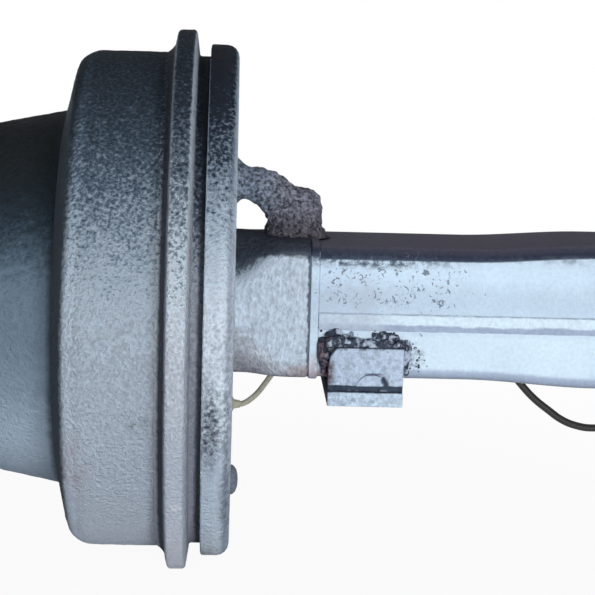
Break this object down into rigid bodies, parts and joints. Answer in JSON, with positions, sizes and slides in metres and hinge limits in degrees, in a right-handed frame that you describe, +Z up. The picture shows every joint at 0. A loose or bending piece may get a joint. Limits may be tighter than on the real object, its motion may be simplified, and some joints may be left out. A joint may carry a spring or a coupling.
{
  "type": "drum-braked axle end",
  "caption": "One end of a vehicle axle: turning hub and brake drum, cam brake inside, forged spindle and a hollow square beam with a welded saddle bracket.",
  "frame": {"origin": "middle of the spring seat, on the flat top of the beam near its open end", "axes": "+X along the axle from the hub towards the beam's open end, +Y towards the camshaft side, +Z up"},
  "size_m": [0.8865, 0.48, 0.48],
  "materials": {
    "cast": "rough cast, thin grey-blue paint",
    "paint": "grey-blue primer, worn",
    "weld": "rough weld metal",
    "steel": "ground steel",
    "zinc": "zinc plated",
    "lining": "matt friction lining",
    "rubber": "matt black",
    "bronze": "satin"
  },
  "bodies": {
    "axle": {"axle_spindle": "paint", "upper_beam_channel": "paint", "lower_beam_channel": "paint", "front_seam_weld": "weld", "rear_seam_weld": "weld", "root_weld": "weld", "brake_spider": "cast", "dust_cover": "paint", "dust_cover_bolt_1": "zinc", "dust_cover_bolt_2": "zinc", "inspection_plug": "rubber", "reaction_strut": "weld", "saddle_bracket": "paint", "saddle_weld": "weld", "upper_anchor_pin": "steel", "lower_anchor_pin": "steel", "spider_bush": "bronze", "camshaft_bracket": "paint", "bracket_bush": "bronze", "inner_bearing_cone": "steel", "outer_bearing_cone": "steel", "thrust_washer": "steel", "axle_nut": "zinc", "sensor_sleeve": "steel", "speed_sensor": "rubber", "lead_gland": "rubber", "sensor_lead": "rubber", "lead_clip_1": "zinc", "lead_clip_2": "zinc", "lead_clip_3": "zinc", "lead_plug": "rubber", "shoe_return_spring": "steel"},
    "hub": {"wheel_hub": "cast", "brake_drum": "cast", "wheel_stud_1": "zinc", "wheel_stud_2": "zinc", "wheel_stud_3": "zinc", "wheel_stud_4": "zinc", "wheel_stud_5": "zinc", "wheel_stud_6": "zinc", "wheel_stud_7": "zinc", "wheel_stud_8": "zinc", "wheel_stud_9": "zinc", "wheel_stud_10": "zinc", "inner_bearing_cup": "steel", "outer_bearing_cup": "steel", "tone_ring": "steel", "hub_cap": "steel", "hub_seal": "rubber"},
    "inner_cage": {"inner_bearing_rollers": "steel"},
    "outer_cage": {"outer_bearing_rollers": "steel"},
    "cam": {"camshaft": "steel", "slack_adjuster": "paint"},
    "shoe_above": {"upper_shoe": "cast", "upper_lining": "lining"},
    "shoe_below": {"lower_shoe": "cast", "lower_lining": "lining"},
    "roller_above": {"upper_roller": "steel"},
    "roller_below": {"lower_roller": "steel"}
  },
  "joints": [
    {"name": "wheel_spin", "type": "hinge", "parent": "axle", "child": "hub", "pos_m": [-0.5775, 0, -0.064], "axis": [1, 0, 0], "continuous": true},
    {"name": "inner_cage_spin", "type": "hinge", "parent": "axle", "child": "inner_cage", "pos_m": [-0.5125, 0, -0.064], "axis": [1, 0, 0], "continuous": true},
    {"name": "outer_cage_spin", "type": "hinge", "parent": "axle", "child": "outer_cage", "pos_m": [-0.6845, 0, -0.064], "axis": [1, 0, 0], "continuous": true},
    {"name": "cam_turn", "type": "hinge", "parent": "axle", "child": "cam", "pos_m": [-0.2775, 0.14, -0.064], "axis": [-1, 0, 0], "range_deg": [0, 12], "stiffness_Nm_per_rad": 60, "springref_deg": -5.73, "deforming": ["shoe_return_spring"]},
    {"name": "upper_shoe_swing", "type": "hinge", "parent": "axle", "child": "shoe_above", "pos_m": [-0.5044, -0.14, -0.036], "axis": [1, 0, 0], "range_deg": [0, 0.54]},
    {"name": "lower_shoe_swing", "type": "hinge", "parent": "axle", "child": "shoe_below", "pos_m": [-0.5044, -0.14, -0.092], "axis": [-1, 0, 0], "range_deg": [0, 0.495]},
    {"name": "upper_roller_spin", "type": "hinge", "parent": "shoe_above", "child": "roller_above", "pos_m": [-0.5044, 0.128, -0.034], "axis": [1, 0, 0], "continuous": true},
    {"name": "lower_roller_spin", "type": "hinge", "parent": "shoe_below", "child": "roller_below", "pos_m": [-0.5044, 0.152, -0.094], "axis": [1, 0, 0], "continuous": true}
  ],
  "couplings": [
    {"joint": "inner_cage_spin", "follows": "wheel_spin", "ratio": 0.5269},
    {"joint": "outer_cage_spin", "follows": "wheel_spin", "ratio": 0.5346},
    {"joint": "upper_shoe_swing", "follows": "cam_turn", "ratio": 0.04478},
    {"joint": "lower_shoe_swing", "follows": "cam_turn", "ratio": 0.0411}
  ]
}
